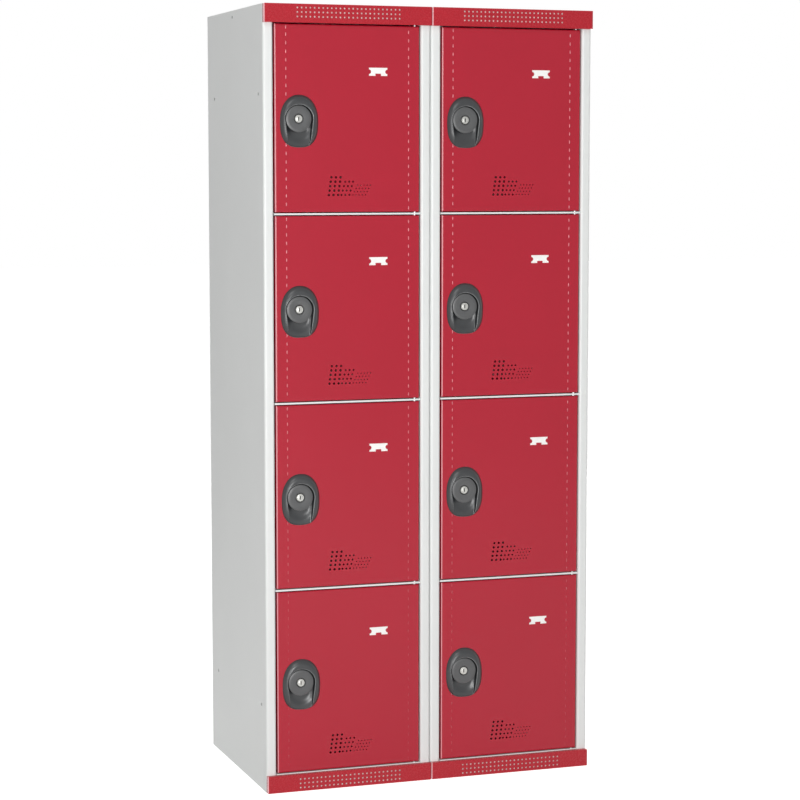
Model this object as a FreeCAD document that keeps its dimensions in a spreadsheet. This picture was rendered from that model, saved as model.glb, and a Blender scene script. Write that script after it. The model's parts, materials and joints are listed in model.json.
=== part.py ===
import FreeCAD, Part
import Sketcher
import math
import os
import re
from FreeCAD import Vector, Rotation

# A steel locker made of two columns bolted side by side, four doors in each.
# One column is drawn in its own frame: x from its left side, y from the front of
# the red bands towards the back, z from the floor. Millimetres.

columns = ("a", "b")
tiers = 4
band_hole_columns = 25
band_hole_rows = 3
# Blocks of vent holes in a door, from the left.
vent_columns = {"coarse": 3, "middle": 3, "fine": 5}
vent_rows = {"coarse": 5, "middle": 4, "fine": 4}
# Faces and edges closer than this lie in the same place.
same_place = 0.001

driving_sizes = (
    ("column_width", 399.5, "outside width of one column"),
    ("column_gap", 1.0, "gap between the two columns"),
    ("body_height", 1800.0, "floor to roof"),
    ("body_depth", 500.0, "front of the bands to the back"),
    ("sheet_wall", 1.0, "carcass sheet"),
    ("stile_width", 24.0, "front face of a side panel"),
    ("stile_depth", 24.0, "depth of the folded stile"),
    ("stile_radius", 6.0, "rounded stile corners, outside"),
    ("stile_lip", 12.0, "lip behind the stile that the lock cam holds on to"),
    ("rear_flange", 20.0, "flange at the back of a side panel"),
    ("foot_flange", 25.0, "flange under a side panel"),
    ("flange_setback", 40.0, "front end of the foot flange and of the shelf flanges"),
    ("join_hole_radius", 4.0, "holes that join neighbouring columns"),
    ("join_front", 50.0, "front joining holes, from the band front"),
    ("join_spacing", 390.0, "front to rear joining holes"),
    ("join_low", 200.0, "lower joining holes above the floor"),
    ("join_rise", 1400.0, "lower to upper joining holes"),
    ("floor_hole_radius", 4.5, "floor fixing holes in the foot flanges"),
    ("floor_hole_inset", 14.0, "floor fixing hole from the outside of the panel"),
    ("floor_hole_front", 70.0, "front floor fixing holes, from the band front"),
    ("floor_hole_spacing", 360.0, "front to rear floor fixing holes"),
    ("wall_hole_radius", 4.0, "wall fixing holes in the back"),
    ("wall_hole_spacing", 300.0, "left to right wall fixing holes"),
    ("wall_hole_drop", 70.0, "wall fixing holes below the roof"),
    ("band_height", 40.0, "red band at the top and at the base"),
    ("band_depth", 10.0, "bands stand this far in front of the stiles"),
    ("band_radius", 2.2, "rounded band ends"),
    ("band_hole_radius", 2.0, "band perforations"),
    ("band_hole_pitch", 10.1, "perforations along a band"),
    ("band_row_pitch", 10.0, "rows of perforations"),
    ("band_row_margin", 8.5, "first row from the outer edge of the band"),
    ("backing_gap", 1.8, "band sheet to the grey flange behind it"),
    ("band_overlap", 2.0, "top band below its line, over the gap of the top doors"),
    ("lip_height", 4.0, "front lip of a shelf, seen between two doors"),
    ("lip_setback", 1.0, "lip behind the front of the stiles"),
    ("hem_depth", 22.0, "hem folded back under the lip"),
    ("shelf_flange", 27.0, "turned-down edges of a shelf"),
    ("shelf_clearance", 0.2, "shelf front to the stiles"),
    ("tab_setback", 90.0, "shelf tab in the side panel, from the band front"),
    ("tab_height", 18.0, "height of a shelf tab"),
    ("tab_width", 1.6, "width of a shelf tab"),
    ("tab_drop", 6.0, "top of a tab below the shelf line"),
    ("tab_clearance", 0.2, "tab in its slot"),
    ("door_side_gap", 3.25, "door to stile"),
    ("door_end_gap", 2.0, "door to shelf lip"),
    ("door_depth", 18.0, "folded edges of a door"),
    ("door_wall", 1.0, "door sheet"),
    ("door_radius", 2.9, "rounded front edges of a door"),
    ("hinge_inset", 10.0, "hinge line from the right edge of the door"),
    ("hinge_setback", 6.0, "hinge line behind the front of the door"),
    ("pin_radius", 3.0, "hinge pin"),
    ("pin_reach", 7.0, "hinge pin beyond the lip"),
    ("pin_clearance", 0.05, "radial play of a door on its pin"),
    ("collar_clearance", 0.2, "collar of a pin behind the front of the lip"),
    ("stiffener_inset", 16.5, "door stiffener from the edge of the door"),
    ("stiffener_width", 20.0, "face of a stiffener on the door sheet"),
    ("stiffener_depth", 15.0, "web of a stiffener"),
    ("stiffener_lip", 10.0, "rear lip of a stiffener"),
    ("stiffener_margin", 8.0, "stiffener ends from the door ends and the lock"),
    ("window_right", 77.5, "name-card window from the right edge of the door"),
    ("window_drop", 95.0, "name-card window below the top of the door"),
    ("window_width", 44.5, "name-card window"),
    ("window_height", 18.5, "name-card window"),
    ("window_tab", 5.0, "reach of the tabs into the window"),
    ("window_tab_width", 13.0, "tab on the lower edge of the window"),
    ("card_margin", 4.0, "name card beyond its window"),
    ("card_wall", 0.5, "name card"),
    ("vent_left", 133.0, "first vent hole from the left edge of the door"),
    ("vent_rise", 79.0, "first vent hole above the bottom of the door"),
    ("coarse_radius", 2.6, "large vent holes"),
    ("coarse_pitch", 11.0, "large vent holes in a row"),
    ("coarse_drop", 10.0, "rows of large vent holes"),
    ("coarse_slant", 1.5, "each row of large vent holes to the left of the one above"),
    ("middle_radius", 2.1, "middle vent holes"),
    ("middle_pitch", 9.3, "middle vent holes in a row"),
    ("middle_drop", 10.0, "rows of middle vent holes"),
    ("middle_slant", 3.0, "each row of middle vent holes to the left of the one above"),
    ("middle_gap", 11.0, "first middle vent hole to the right of the large ones"),
    ("middle_start", 10.0, "first middle vent hole below the first large one"),
    ("fine_radius", 1.3, "small vent holes"),
    ("fine_pitch", 7.6, "small vent holes in a row"),
    ("fine_drop", 7.4, "rows of small vent holes"),
    ("fine_slant", 3.8, "each row of small vent holes to the left of the one above"),
    ("fine_gap", 11.0, "first small vent hole to the right of the middle ones"),
    ("fine_start", 17.8, "first small vent hole below the first large one"),
    ("handle_inset", 57.0, "middle of the handle from the left edge of the door"),
    ("handle_drop", 6.0, "middle of the handle below mid-height"),
    ("handle_width", 90.0, "oval handle housing"),
    ("handle_height", 118.0, "oval handle housing"),
    ("handle_flat", 3.0, "end arcs of the oval smaller than half its width by this"),
    ("handle_proud", 10.0, "housing in front of the door"),
    ("handle_round", 7.5, "rounded front of the housing"),
    ("skirt_inset", 7.0, "housing behind the door, inside its outline"),
    ("skirt_clearance", 0.3, "housing in the door cut-out"),
    ("bowl_floor", 4.0, "floor of the handle bowl behind the door front"),
    ("bowl_wall", 3.0, "thickness of the bowl floor"),
    ("bowl_width", 66.0, "round top of the handle bowl"),
    ("scoop_width", 51.0, "finger scoop at its lower end"),
    ("scoop_rise", 22.0, "sloped end of the scoop"),
    ("scoop_margin", 5.0, "scoop short of the lower end of the oval"),
    ("lock_inset", 54.0, "lock cylinder from the left edge of the door"),
    ("lock_drop", 1.0, "lock cylinder below mid-height"),
    ("disc_radius", 30.0, "round lock plate"),
    ("disc_wall", 6.0, "round lock plate"),
    ("disc_sunk", 2.0, "lock plate behind the crown of the housing"),
    ("sleeve_radius", 17.0, "sleeve between the lock plate and the bowl floor"),
    ("barrel_radius", 9.0, "lock cylinder"),
    ("barrel_clearance", 0.05, "radial play of the cylinder"),
    ("barrel_sunk", 0.5, "cylinder face behind the lock plate"),
    ("ring_width", 2.5, "dark ring round the cylinder"),
    ("ring_depth", 2.0, "dark ring round the cylinder"),
    ("keyway_width", 2.2, "keyway"),
    ("keyway_height", 9.0, "keyway"),
    ("keyway_depth", 6.0, "keyway"),
    ("spindle_radius", 7.0, "cylinder behind the housing"),
    ("stud_radius", 4.0, "threaded end of the cylinder"),
    ("cam_length", 64.0, "lock cam"),
    ("cam_width", 16.0, "lock cam"),
    ("cam_wall", 2.5, "lock cam"),
    ("cam_gap", 1.5, "cam behind the lip of the stile"),
    ("nut_flats", 13.0, "nut on the cam"),
    ("nut_height", 4.0, "nut on the cam"),
    ("bolt_radius", 3.0, "joining bolts"),
    ("bolt_flats", 10.0, "heads and nuts of the joining bolts"),
    ("bolt_head", 4.0, "heads of the joining bolts"),
    ("bolt_nut", 5.0, "nuts of the joining bolts"),
    ("bolt_tail", 2.0, "bolt end beyond its nut"),
    ("spacer_radius", 8.0, "spacers between the columns"),
    ("spacer_clearance", 0.2, "joining bolt in its spacer"),
)


doc = FreeCAD.newDocument("locker")
sizes = doc.addObject("Spreadsheet::Sheet", "sizes")
for number, (alias, amount, meaning) in enumerate(driving_sizes, start=1):
    sizes.set(f"A{number}", alias)
    sizes.set(f"B{number}", str(amount))
    sizes.set(f"C{number}", meaning)
    sizes.setAlias(f"B{number}", alias)
doc.recompute()

aliases = {alias for alias, amount, meaning in driving_sizes}


def formula(text):
    def named(match):
        word = match.group()
        return f"sizes.{word}" if word in aliases else word
    return re.sub(r"[a-z_]\w*", named, text)


def value(text):
    return float(sizes.evalExpression(formula(text)))


# Lines that several pieces share, as formulas of the driving sizes.
roof_under = "(body_height - sheet_wall)"
inner_right = "(column_width - sheet_wall)"
stile_back = "(band_depth + stile_depth)"
opening_left = "stile_width"
opening_right = "(column_width - stile_width)"
back_front = "(body_depth - sheet_wall)"
rear_line = "(body_depth - 2 * sheet_wall)"
tier_height = f"((body_height - 2 * band_height) / {tiers})"
lip_front = "(band_depth + lip_setback)"
lip_half = "(lip_height / 2)"
door_front = "band_depth"
door_left = "(stile_width + door_side_gap)"
door_right = "(column_width - stile_width - door_side_gap)"
door_bottom = "(lip_height / 2 + door_end_gap)"
door_top = f"({tier_height} - lip_height / 2 - door_end_gap)"
door_inside = "(band_depth + door_wall)"
hinge_x = f"({door_right} - hinge_inset)"
hinge_y = f"({door_front} + hinge_setback)"
collar_radius = f"({hinge_y} - {lip_front} - sheet_wall - collar_clearance)"
window_left = f"({door_right} - window_right - window_width)"
handle_x = f"({door_left} + handle_inset)"
handle_z = f"({tier_height} / 2 - handle_drop)"
crown = f"({door_front} - handle_proud)"
bowl_back = f"({door_front} + bowl_floor)"
housing_back = f"({bowl_back} + bowl_wall)"
lock_x = f"({door_left} + lock_inset)"
lock_z = f"({tier_height} / 2 - lock_drop)"
disc_front = f"({crown} + disc_sunk)"
disc_back = f"({disc_front} + disc_wall)"
bore_radius = "(barrel_radius + barrel_clearance)"
cam_front = f"({stile_back} + cam_gap)"
cam_back = f"({cam_front} + cam_wall)"
nut_back = f"({cam_back} + nut_height)"
header_front = "(sheet_wall + backing_gap)"
shelf_levels = [f"(band_height + {level} * {tier_height})" for level in range(tiers + 1)]


def body(name):
    return doc.addObject("PartDesign::Body", name)


def sketch(owner, name, plane, lift="0", across="0", up="0"):
    drawing = owner.newObject("Sketcher::SketchObject", name)
    support = next(item for item in owner.Origin.OriginFeatures if item.Role == plane)
    drawing.AttachmentSupport = [(support, "")]
    drawing.MapMode = "FlatFace"
    for axis, text in (("x", across), ("y", up), ("z", lift)):
        drawing.setExpression(f"AttachmentOffset.Base.{axis}", formula(text))
    return drawing


def bind(drawing, kind, first, point, text, other=None):
    start = (first, point) if other is None else other + (first, point)
    rule = drawing.addConstraint(Sketcher.Constraint(kind, *start, value(text)))
    drawing.setExpression(f"Constraints[{rule}]", formula(text))


def rectangle(drawing, low, high):
    left, bottom, right, top = (value(text) for text in low + high)
    corners = [(left, bottom), (right, bottom), (right, top), (left, top)]
    first = drawing.GeometryCount
    for start, end in zip(corners, corners[1:] + corners[:1]):
        drawing.addGeometry(Part.LineSegment(Vector(*start, 0), Vector(*end, 0)))
    for side in range(4):
        meet = Sketcher.Constraint("Coincident", first + side, 2, first + (side + 1) % 4, 1)
        drawing.addConstraint(meet)
        drawing.addConstraint(Sketcher.Constraint(("Horizontal", "Vertical")[side % 2], first + side))
    for kind, corner, text in (("DistanceX", 0, low[0]), ("DistanceY", 0, low[1]),
                               ("DistanceX", 2, high[0]), ("DistanceY", 2, high[1])):
        bind(drawing, kind, first + corner, 1, text, other=(-1, 1))


def circle(drawing, across, up, radius):
    centre = Vector(value(across), value(up), 0)
    ring = drawing.addGeometry(Part.Circle(centre, Vector(0, 0, 1), value(radius)))
    bind(drawing, "DistanceX", ring, 3, across, other=(-1, 1))
    bind(drawing, "DistanceY", ring, 3, up, other=(-1, 1))
    rule = drawing.addConstraint(Sketcher.Constraint("Radius", ring, value(radius)))
    drawing.setExpression(f"Constraints[{rule}]", formula(radius))


def hexagon(drawing, flats):
    reach = value(flats) / math.sqrt(3)
    turns = [math.radians(60 * side) for side in range(6)]
    corners = [Vector(reach * math.cos(turn), reach * math.sin(turn), 0) for turn in turns]
    for start, end in zip(corners, corners[1:] + corners[:1]):
        drawing.addGeometry(Part.LineSegment(start, end))
    outline = drawing.addGeometry(Part.Circle(Vector(0, 0, 0), Vector(0, 0, 1), reach), True)
    for side in range(6):
        drawing.addConstraint(Sketcher.Constraint("Coincident", side, 2, (side + 1) % 6, 1))
        drawing.addConstraint(Sketcher.Constraint("PointOnObject", side, 1, outline))
    for side in range(5):
        drawing.addConstraint(Sketcher.Constraint("Equal", side, side + 1))
    drawing.addConstraint(Sketcher.Constraint("Coincident", outline, 3, -1, 1))
    drawing.addConstraint(Sketcher.Constraint("PointOnObject", 0, 1, -1))
    rule = drawing.addConstraint(Sketcher.Constraint("Radius", outline, reach))
    drawing.setExpression(f"Constraints[{rule}]", formula(f"{flats} / sqrt(3)"))


def pad(owner, drawing, length, reverse=False):
    feature = owner.newObject("PartDesign::Pad", drawing.Name + "_pad")
    feature.Profile = drawing
    feature.Reversed = reverse
    feature.setExpression("Length", formula(length))
    owner.Tip = feature
    return feature


def pocket(owner, drawing, length, reverse=False):
    feature = owner.newObject("PartDesign::Pocket", drawing.Name + "_pocket")
    feature.Profile = drawing
    feature.Reversed = reverse
    feature.setExpression("Length", formula(length))
    owner.Tip = feature
    return feature


def slab(owner, name, low, high):
    drawing = sketch(owner, name, "XY_Plane", lift=low[2])
    rectangle(drawing, low[:2], high[:2])
    return pad(owner, drawing, f"({high[2]}) - ({low[2]})")


def cutout(owner, name, low, high):
    drawing = sketch(owner, name, "XY_Plane", lift=high[2])
    rectangle(drawing, low[:2], high[:2])
    return pocket(owner, drawing, f"({high[2]}) - ({low[2]})")


def rounded(owner, feature, name, radius, wanted):
    doc.recompute()
    edges = [f"Edge{number}" for number, edge in enumerate(feature.Shape.Edges, start=1) if wanted(edge)]
    fillet = owner.newObject("PartDesign::Fillet", name)
    fillet.Base = (feature, edges)
    fillet.setExpression("Radius", formula(radius))
    owner.Tip = fillet
    return fillet


def lies_at(edge, **places):
    box = edge.BoundBox
    ends = {"x": (box.XMin, box.XMax), "y": (box.YMin, box.YMax), "z": (box.ZMin, box.ZMax)}
    return all(abs(end - value(text)) < same_place for axis, text in places.items() for end in ends[axis])


def bore_along_z(owner, name, across, back, radius, low, high):
    drawing = sketch(owner, name, "XY_Plane", lift=high)
    circle(drawing, across, back, radius)
    return pocket(owner, drawing, f"({high}) - ({low})")


def bore_along_y(owner, name, across, up, radius, front, back):
    drawing = sketch(owner, name, "XZ_Plane", lift=f"-({front})")
    circle(drawing, across, up, radius)
    return pocket(owner, drawing, f"({back}) - ({front})")


def bore_along_x(owner, name, back, up, radius, left, right):
    drawing = sketch(owner, name, "YZ_Plane", lift=right)
    circle(drawing, back, up, radius)
    return pocket(owner, drawing, f"({right}) - ({left})")


def rod_along_z(owner, name, across, back, radius, low, high):
    drawing = sketch(owner, name, "XY_Plane", lift=low)
    circle(drawing, across, back, radius)
    return pad(owner, drawing, f"({high}) - ({low})")


def rod_along_y(owner, name, across, up, radius, front, back):
    drawing = sketch(owner, name, "XZ_Plane", lift=f"-({front})")
    circle(drawing, across, up, radius)
    return pad(owner, drawing, f"({back}) - ({front})", reverse=True)


def rod_along_x(owner, name, back, up, radius, left, right):
    drawing = sketch(owner, name, "YZ_Plane", lift=left)
    circle(drawing, back, up, radius)
    return pad(owner, drawing, f"({right}) - ({left})")


def hexagon_along_x(owner, name, flats, left, right):
    drawing = sketch(owner, name, "YZ_Plane", lift=left)
    hexagon(drawing, flats)
    return pad(owner, drawing, f"({right}) - ({left})")


def hexagon_along_y(owner, name, across, up, flats, front, back):
    drawing = sketch(owner, name, "XZ_Plane", lift=f"-({front})", across=across, up=up)
    hexagon(drawing, flats)
    return pad(owner, drawing, f"({back}) - ({front})", reverse=True)


# Left side panel: sheet, rounded stile, flanges, joining holes and shelf slots.
def side_panel():
    panel = body("side_panel")
    slab(panel, "stile", ("0", "band_depth", "0"), ("stile_width", stile_back, roof_under))
    hollow = cutout(panel, "stile_hollow", ("sheet_wall", "band_depth + sheet_wall", "0"),
                    ("stile_width - sheet_wall", f"{stile_back} - sheet_wall", roof_under))
    inner_sides = ("sheet_wall", "stile_width - sheet_wall")
    inner = [{"x": side, "y": "band_depth + sheet_wall"} for side in inner_sides]
    lining = rounded(panel, hollow, "stile_inner_corners", "stile_radius - sheet_wall",
                     lambda edge: any(lies_at(edge, **corner) for corner in inner))
    outer = [{"x": side, "y": "band_depth"} for side in ("0", "stile_width")]
    rounded(panel, lining, "stile_corners", "stile_radius",
            lambda edge: any(lies_at(edge, **corner) for corner in outer))
    cutout(panel, "stile_mouth", ("sheet_wall", f"{stile_back} - sheet_wall", "0"),
           ("stile_width - stile_lip", stile_back, roof_under))
    slab(panel, "side_sheet", ("0", "band_depth + stile_radius", "0"),
         ("sheet_wall", back_front, roof_under))
    slab(panel, "rear_fold", ("0", rear_line, "0"), ("rear_flange", back_front, roof_under))
    slab(panel, "foot_fold", ("0", "flange_setback", "0"), ("foot_flange", back_front, "sheet_wall"))
    for place, back in (("front", "join_front"), ("rear", "join_front + join_spacing")):
        for level, up in (("low", "join_low"), ("high", "join_low + join_rise")):
            bore_along_x(panel, f"join_{place}_{level}", back, up, "join_hole_radius", "0", "sheet_wall")
    for place, back in (("front", "floor_hole_front"), ("rear", "floor_hole_front + floor_hole_spacing")):
        bore_along_z(panel, f"floor_{place}", "floor_hole_inset", back, "floor_hole_radius",
                     "0", "sheet_wall")
    for number, level in enumerate(shelf_levels[:-1]):
        low = f"{level} - tab_drop - tab_height - tab_clearance"
        high = f"{level} - tab_drop + tab_clearance"
        cutout(panel, f"shelf_slot_{number}", ("0", "tab_setback - tab_clearance", low),
               ("sheet_wall", "tab_setback + tab_width + tab_clearance", high))
    return panel


def back_panel():
    panel = body("back_panel")
    slab(panel, "back_sheet", ("0", back_front, "0"), ("column_width", "body_depth", roof_under))
    for place, sign in (("left", "-"), ("right", "+")):
        bore_along_y(panel, f"wall_hole_{place}", f"column_width / 2 {sign} wall_hole_spacing / 2",
                     "body_height - wall_hole_drop", "wall_hole_radius", back_front, "body_depth")
    return panel


# Roof with the header fold behind the top band, which holds the top hinge pin.
def roof_panel():
    panel = body("roof_panel")
    left = f"{opening_left} + shelf_clearance"
    right = f"{opening_right} - shelf_clearance"
    fold = "body_height - band_height + sheet_wall"
    slab(panel, "roof_sheet", ("0", "sheet_wall", roof_under),
         ("column_width", "body_depth", "body_height"))
    slab(panel, "header", (left, header_front, fold), (right, f"{header_front} + sheet_wall", roof_under))
    slab(panel, "header_return", (left, header_front, fold), (right, stile_back, f"{fold} + sheet_wall"))
    bore_along_z(panel, "top_pin_hole", hinge_x, hinge_y, "pin_radius", fold, f"{fold} + sheet_wall")
    return panel


# What a shelf and the floor share, with z measured from the shelf line.
def shelf_sheet(panel, lift):
    top = f"{lift} + {lip_half}"
    under = f"{top} - sheet_wall"
    left = f"{opening_left} + shelf_clearance"
    right = f"{opening_right} - shelf_clearance"
    behind = f"{stile_back} + shelf_clearance"
    low = f"{top} - shelf_flange"
    slab(panel, "shelf_top", ("sheet_wall", behind, under), (inner_right, rear_line, top))
    slab(panel, "shelf_front", (left, lip_front, under), (right, behind, top))
    hem = f"{lift} - {lip_half}"
    slab(panel, "shelf_lip", (left, lip_front, hem), (right, f"{lip_front} + sheet_wall", top))
    slab(panel, "shelf_hem", (left, lip_front, hem),
         (right, f"{lip_front} + hem_depth", f"{hem} + sheet_wall"))
    slab(panel, "left_fold", ("sheet_wall", "flange_setback", low), ("2 * sheet_wall", rear_line, under))
    slab(panel, "right_fold", (f"{inner_right} - sheet_wall", "flange_setback", low),
         (inner_right, rear_line, under))
    slab(panel, "rear_fold", ("sheet_wall", f"{rear_line} - sheet_wall", low),
         (inner_right, rear_line, under))
    for side, start, end in (("left", "0", "sheet_wall"), ("right", inner_right, "column_width")):
        slab(panel, f"{side}_tab", (start, "tab_setback", f"{lift} - tab_drop - tab_height"),
             (end, "tab_setback + tab_width", f"{lift} - tab_drop"))
    bore_along_z(panel, "pin_hole", hinge_x, hinge_y, "pin_radius", hem, top)


def shelf():
    panel = body("shelf")
    shelf_sheet(panel, "0")
    return panel


# The floor is a shelf whose lip steps forward and down behind the base band.
def floor_panel():
    panel = body("floor_panel")
    shelf_sheet(panel, "band_height")
    left = f"{opening_left} + shelf_clearance"
    right = f"{opening_right} - shelf_clearance"
    step = f"band_height - {lip_half} - sheet_wall"
    slab(panel, "plinth_step", (left, header_front, step),
         (right, f"{lip_front} + sheet_wall", f"{step} + sheet_wall"))
    slab(panel, "plinth", (left, header_front, "sheet_wall"), (right, f"{header_front} + sheet_wall", step))
    return panel


# Perforated band: front sheet, folded ends and one long fold, open on its outer edge.
def band(name, overlap):
    cover = body(name)
    block = slab(cover, "band_block", ("0", "0", f"0 - {overlap}"),
                 ("column_width", "band_depth", "band_height"))
    rounded(cover, block, "band_corners", "band_radius",
            lambda edge: lies_at(edge, x="0", y="0") or lies_at(edge, x="column_width", y="0"))
    cutout(cover, "band_inside", ("sheet_wall", "sheet_wall", f"sheet_wall - {overlap}"),
           (inner_right, "band_depth", "band_height"))
    cutout(cover, "roof_step", ("0", "sheet_wall", roof_under + " - body_height + band_height"),
           ("column_width", "band_depth", "band_height"))
    first = f"column_width / 2 - {(band_hole_columns - 1) / 2} * band_hole_pitch"
    drawing = sketch(cover, "band_hole", "XZ_Plane")
    circle(drawing, first, "band_height - band_row_margin", "band_hole_radius")
    hole = pocket(cover, drawing, "sheet_wall")
    rows = cover.newObject("PartDesign::LinearPattern", "band_holes")
    rows.Originals = [hole]
    rows.Direction = (drawing, ["H_Axis"])
    rows.Direction2 = (drawing, ["V_Axis"])
    rows.Reversed2 = True
    rows.Occurrences = band_hole_columns
    rows.Occurrences2 = band_hole_rows
    rows.setExpression("Length", formula(f"{band_hole_columns - 1} * band_hole_pitch"))
    rows.setExpression("Length2", formula(f"{band_hole_rows - 1} * band_row_pitch"))
    cover.Tip = rows
    return cover


# Pressed hinge pin with the collar that keeps it in the fold or lip it sits in.
def hinge_pin(name, low, high, collar_low, collar_high):
    pin = body(name)
    rod_along_z(pin, name + "_shank", hinge_x, hinge_y, "pin_radius", low, high)
    rod_along_z(pin, name + "_collar", hinge_x, hinge_y, collar_radius, collar_low, collar_high)
    return pin


# Width of a block of vent holes, from its first hole to its last.
def block_width(block):
    return f"{vent_columns[block] - 1} * {block}_pitch"


# Door: a pan folded from one sheet, with the cut-outs for lock, card, vents and pins.
def door_panel():
    door = body("door_panel")
    back = f"{door_front} + door_depth"
    block = slab(door, "door_block", (door_left, door_front, door_bottom), (door_right, back, door_top))
    front = rounded(door, block, "door_edges", "door_radius", lambda edge: lies_at(edge, y=door_front))
    doc.recompute()
    rear = [f"Face{number}" for number, face in enumerate(front.Shape.Faces, start=1)
            if lies_at(face, y=back)]
    pan = door.newObject("PartDesign::Thickness", "door_pan")
    pan.Base = (front, rear)
    pan.Reversed = True
    pan.setExpression("Value", formula("door_wall"))
    door.Tip = pan
    for place, low, high in (("top", f"{door_top} - door_wall", door_top),
                             ("bottom", door_bottom, f"{door_bottom} + door_wall")):
        bore_along_z(door, f"{place}_pin_hole", hinge_x, hinge_y, "pin_radius + pin_clearance", low, high)
    vents = sketch(door, "vents", "XZ_Plane", lift=f"-({door_front})")
    first = f"{door_left} + vent_left"
    top = f"{door_bottom} + vent_rise"
    starts = {
        "coarse": (first, top),
        "middle": (f"{first} + {block_width('coarse')} + middle_gap", f"{top} - middle_start"),
        "fine": (f"{first} + {block_width('coarse')} + middle_gap + {block_width('middle')} + fine_gap",
                 f"{top} - fine_start"),
    }
    for block, (across, up) in starts.items():
        for row in range(vent_rows[block]):
            for hole in range(vent_columns[block]):
                circle(vents, f"{across} + {hole} * {block}_pitch - {row} * {block}_slant",
                       f"{up} - {row} * {block}_drop", f"{block}_radius")
    pocket(door, vents, "door_wall")
    return door


# Name-card window with its three tabs, as the shape taken out of the door sheet.
def card_window():
    left = window_left
    top = f"{door_top} - window_drop"
    window = doc.addObject("Part::Box", "window")
    tab = doc.addObject("Part::Box", "window_lower_tab")
    boxes = (
        (window, (left, door_front, f"{top} - window_height"),
         ("window_width", "door_wall", "window_height")),
        (tab, (f"{left} + (window_width - window_tab_width) / 2", door_front, f"{top} - window_height"),
         ("window_tab_width", "door_wall", "window_tab")),
    )
    for box, corner, lengths in boxes:
        for axis, text in zip("xyz", corner):
            box.setExpression(f"Placement.Base.{axis}", formula(text))
        for side, text in zip(("Length", "Width", "Height"), lengths):
            box.setExpression(side, formula(text))
    tabs = [tab]
    for side, across in (("left", left), ("right", f"{left} + window_width")):
        ear = doc.addObject("Part::Cylinder", f"window_{side}_tab")
        ear.Placement.Rotation = Rotation(Vector(1, 0, 0), -90)
        for axis, text in zip("xyz", (across, door_front, f"{top} - window_height / 2")):
            ear.setExpression(f"Placement.Base.{axis}", formula(text))
        ear.setExpression("Radius", formula("window_tab"))
        ear.setExpression("Height", formula("door_wall"))
        tabs.append(ear)
    keep = doc.addObject("Part::MultiFuse", "window_tabs")
    keep.Shapes = tabs
    opening = doc.addObject("Part::Cut", "window_opening")
    opening.Base = window
    opening.Tool = keep
    return opening


# Oval of four tangent arcs round the middle of the handle, in a plane of constant y.
def oval(inset, back):
    half_width = value("handle_width") / 2 - inset
    half_height = value("handle_height") / 2 - inset
    end = half_width - value("handle_flat")
    rise = half_height - end
    side = (half_width ** 2 + rise ** 2 - end ** 2) / (2 * (half_width - end))
    centre = Vector(value(handle_x), back, value(handle_z))
    turn = math.atan2(rise, side - half_width)
    meet = Vector(end * math.cos(turn), 0, rise + end * math.sin(turn))
    upper = Part.Arc(centre + Vector(-meet.x, 0, meet.z), centre + Vector(0, 0, half_height), centre + meet)
    right = Part.Arc(centre + meet, centre + Vector(half_width, 0, 0), centre + Vector(meet.x, 0, -meet.z))
    lower = Part.Arc(centre + Vector(meet.x, 0, -meet.z), centre - Vector(0, 0, half_height),
                     centre + Vector(-meet.x, 0, -meet.z))
    left = Part.Arc(centre + Vector(-meet.x, 0, -meet.z), centre - Vector(half_width, 0, 0),
                    centre + Vector(-meet.x, 0, meet.z))
    return Part.Wire([arc.toShape() for arc in (upper, right, lower, left)])


def oval_prism(inset, front, back):
    return Part.Face(oval(inset, front)).extrude(Vector(0, back - front, 0))


def lofted(front_corners, back_corners):
    outlines = [Part.makePolygon(corners + corners[:1]) for corners in (front_corners, back_corners)]
    return Part.makeLoft(outlines, True, True)


# Moulded housing: rounded oval crown, bowl behind the lock plate, sloped finger scoop.
def handle_housing():
    front = value(crown)
    face = value(door_front)
    dome = oval_prism(0, front, face)
    rim = [edge for edge in dome.Edges if lies_at(edge, y=crown)]
    dome = dome.makeFillet(value("handle_round"), rim)
    skirt = oval_prism(value("skirt_inset"), face, value(housing_back))
    housing = dome.fuse(skirt)
    floor = value(bowl_back)
    axis = Vector(value(lock_x), front, value(lock_z))
    bowl = Part.makeCylinder(value("bowl_width") / 2, floor - front, axis, Vector(0, 1, 0))
    upper = value("bowl_width") / 2
    lower = value("scoop_width") / 2
    end = value(handle_z) - value("handle_height") / 2 + value("scoop_margin")
    rise = value("scoop_rise")

    def outline(back, bottom):
        return [Vector(axis.x - upper, back, axis.z), Vector(axis.x - lower, back, bottom),
                Vector(axis.x + lower, back, bottom), Vector(axis.x + upper, back, axis.z)]
    scoop = lofted(outline(front, end), outline(floor, end + rise))
    bore = Part.makeCylinder(value(bore_radius), value(housing_back) - front, axis, Vector(0, 1, 0))
    housing = housing.cut(bowl.fuse(scoop)).cut(bore).removeSplitter()
    piece = doc.addObject("Part::Feature", "handle_housing")
    piece.Shape = housing.Solids[0]
    return piece


# Door cut-out that the skirt of the housing goes through.
def handle_opening():
    inset = value("skirt_inset") - value("skirt_clearance")
    piece = doc.addObject("Part::Feature", "handle_opening")
    piece.Shape = oval_prism(inset, value(door_front), value(door_inside))
    return piece


# Round plate in front of the bowl, with a ring let in round the lock cylinder.
def lock_plate():
    plate = body("lock_plate")
    rod_along_y(plate, "plate_disc", lock_x, lock_z, "disc_radius", disc_front, disc_back)
    bore_along_y(plate, "plate_bore", lock_x, lock_z, bore_radius, disc_front, disc_back)
    bore_along_y(plate, "plate_ring", lock_x, lock_z, "barrel_radius + ring_width",
                 disc_front, f"{disc_front} + ring_depth")
    return plate


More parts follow.
